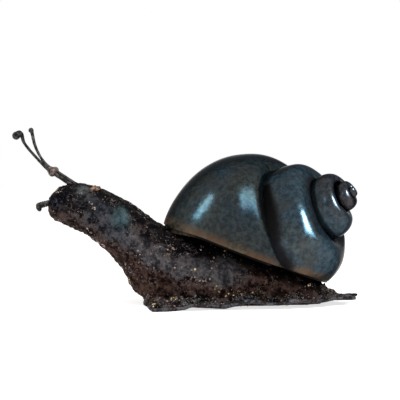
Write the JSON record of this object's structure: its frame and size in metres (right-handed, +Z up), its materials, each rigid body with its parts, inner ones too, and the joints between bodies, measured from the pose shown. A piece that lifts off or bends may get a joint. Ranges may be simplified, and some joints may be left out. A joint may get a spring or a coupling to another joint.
{
  "type": "snail figurine",
  "caption": "Table-top snail ornament: dark welded steel body on a rippled sole, raised neck with eye stalks and feelers, and a polished bronze spiral shell.",
  "frame": {"origin": "on the sole's resting face, under the shell, midway across the sole", "axes": "+Z up from the resting face, -X towards the head, +X towards the tail, -Y the snail's left side"},
  "size_m": [0.2458, 0.1137, 0.1278],
  "materials": {
    "body_steel": "dark waxed patina, pitted, with weld spatter",
    "weld_metal": "lumpy weld run under dark patina",
    "rod_steel": "dull dark rod, lightly rusted",
    "shell_bronze": "polished dark patina with mottling",
    "floor_bronze": "dark brown patina",
    "fixing_steel": "plain zinc-grey steel"
  },
  "bodies": {
    "root": {"sole_plate": "body_steel", "sole_weld": "weld_metal", "trunk_skin": "body_steel", "saddle_plate": "body_steel", "neck_tube": "body_steel", "head_cap": "body_steel", "left_stalk": "rod_steel", "right_stalk": "rod_steel", "stalk_weld": "weld_metal", "left_eye": "rod_steel", "right_eye": "rod_steel", "left_feeler": "rod_steel", "right_feeler": "rod_steel", "left_feeler_tip": "rod_steel", "right_feeler_tip": "rod_steel", "body_whorl": "shell_bronze", "second_whorl": "shell_bronze", "third_whorl": "shell_bronze", "fourth_whorl": "shell_bronze", "apex_knob": "shell_bronze", "shell_floor": "floor_bronze", "shell_studs": "fixing_steel", "stud_washers": "fixing_steel", "stud_nuts": "fixing_steel"}
  },
  "joints": []
}
